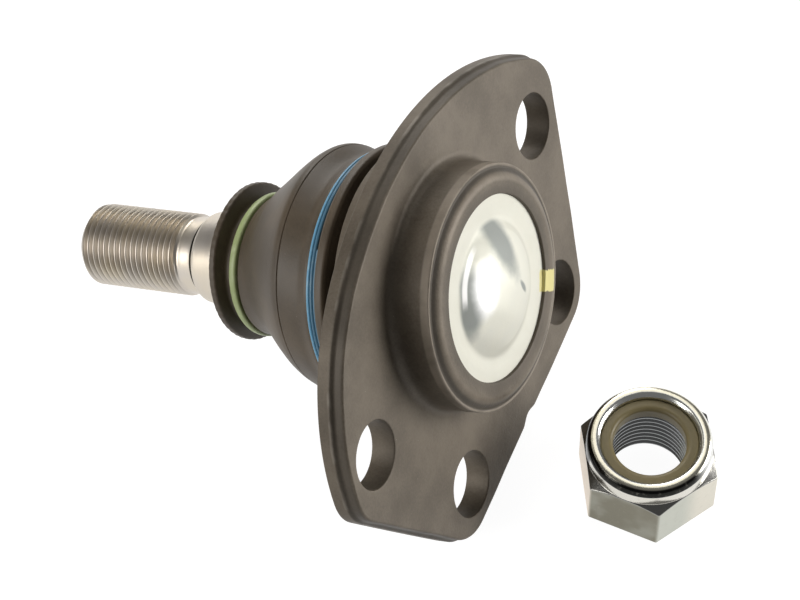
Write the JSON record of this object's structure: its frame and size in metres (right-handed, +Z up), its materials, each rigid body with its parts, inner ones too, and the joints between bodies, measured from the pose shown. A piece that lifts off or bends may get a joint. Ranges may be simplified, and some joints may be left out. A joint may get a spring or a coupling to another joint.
{
  "type": "suspension ball joint",
  "caption": "Ball joint with a bolted plate flange, locating collar, closed cap, rubber dust boot with clamping rings, threaded taper stud and a separate nylon-ringed hexagon lock nut.",
  "frame": {"origin": "middle of the bounding box's base, on the table that the joint and its nut rest on", "axes": "+X along the table from the stud's tip to the nut, +Y sideways towards the flange's far outer hole, +Z up; the housing's axis is parallel to the XZ plane, and so is the stud's apart from its small sideways lean"},
  "size_m": [0.1502, 0.1118, 0.0761],
  "materials": {
    "phosphated_steel": "dark phosphated forging, satin",
    "zinc_cap": "bright zinc plating",
    "stud_steel": "machined, lightly oiled",
    "boot_rubber": "matte",
    "blue_wire": "blue coated wire",
    "green_ring": "satin",
    "shell_plastic": "greased",
    "spring_steel": "oiled spring steel",
    "zinc_nut": "bright zinc plating",
    "nylon": "tan nylon"
  },
  "bodies": {
    "housing": {"housing": "phosphated_steel", "closing_cap": "zinc_cap", "upper_bearing_shell": "shell_plastic", "lower_bearing_shell": "shell_plastic", "preload_spring": "spring_steel", "boot_wire_ring": "blue_wire"},
    "boot": {"dust_boot": "boot_rubber"},
    "boot_end": {"stud_ring": "green_ring"},
    "stud": {"ball_stud": "stud_steel"},
    "nut": {"lock_nut": "zinc_nut", "nylon_insert": "nylon"}
  },
  "joints": [
    {"name": "swing", "type": "hinge", "parent": "housing", "child": "boot", "pos_m": [0.00317, -0.00063, 0.03936], "axis": [0, 1, 0], "range_deg": [-17, 17], "deforming": ["dust_boot"]},
    {"name": "side_swing", "type": "hinge", "parent": "boot", "child": "boot_end", "pos_m": [0.00317, -0.00063, 0.03936], "axis": [0.3881, 0, -0.9216], "range_deg": [-19, 15], "deforming": ["dust_boot"]},
    {"name": "stud_spin", "type": "hinge", "parent": "boot_end", "child": "stud", "pos_m": [0.00317, -0.00063, 0.03936], "axis": [-0.9211, 0.0349, -0.3878], "continuous": true},
    {"name": "nut_lift", "type": "slide", "parent": "housing", "child": "nut", "axis": [0, 0, 1], "range_m": [0, 0.03]}
  ]
}
